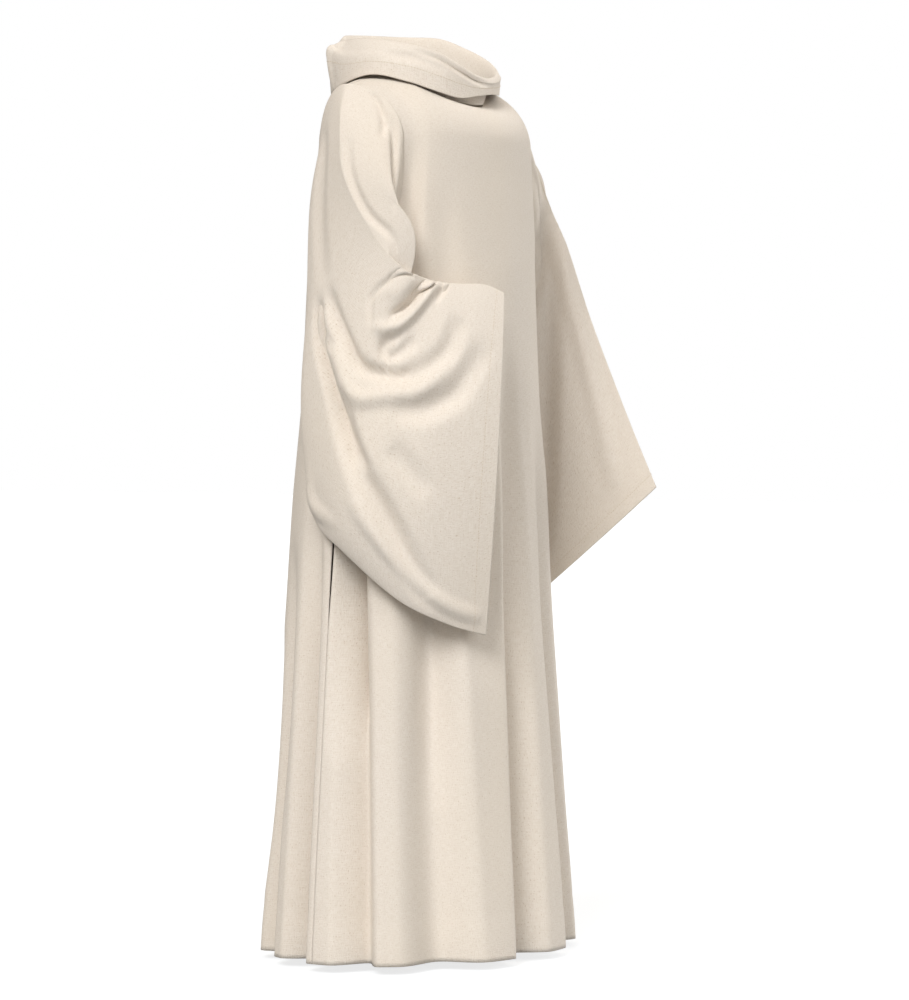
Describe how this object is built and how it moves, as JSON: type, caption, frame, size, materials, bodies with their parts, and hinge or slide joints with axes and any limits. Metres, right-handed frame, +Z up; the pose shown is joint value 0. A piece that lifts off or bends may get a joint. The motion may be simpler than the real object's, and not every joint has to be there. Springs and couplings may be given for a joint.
{
  "type": "alb robe",
  "caption": "Floor-length hollow robe of cream cloth with a roll collar and very wide sleeves, in its worn form with one forearm raised.",
  "frame": {"origin": "on the mid-line of the robe at the height of the shoulder seams, where the wearer's shoulders carry it", "axes": "+Z up from hem to collar; the robe faces -Y; the wearer's left is +X"},
  "size_m": [0.6521, 0.4959, 1.5433],
  "materials": {
    "alb_cloth": "matte natural cream slub weave with small brown flecks",
    "alb_thread": "matte cream sewing thread"
  },
  "bodies": {
    "root": {"front": "alb_cloth", "back": "alb_cloth", "right_sleeve": "alb_cloth", "left_sleeve": "alb_cloth", "roll_collar": "alb_cloth"}
  },
  "joints": []
}
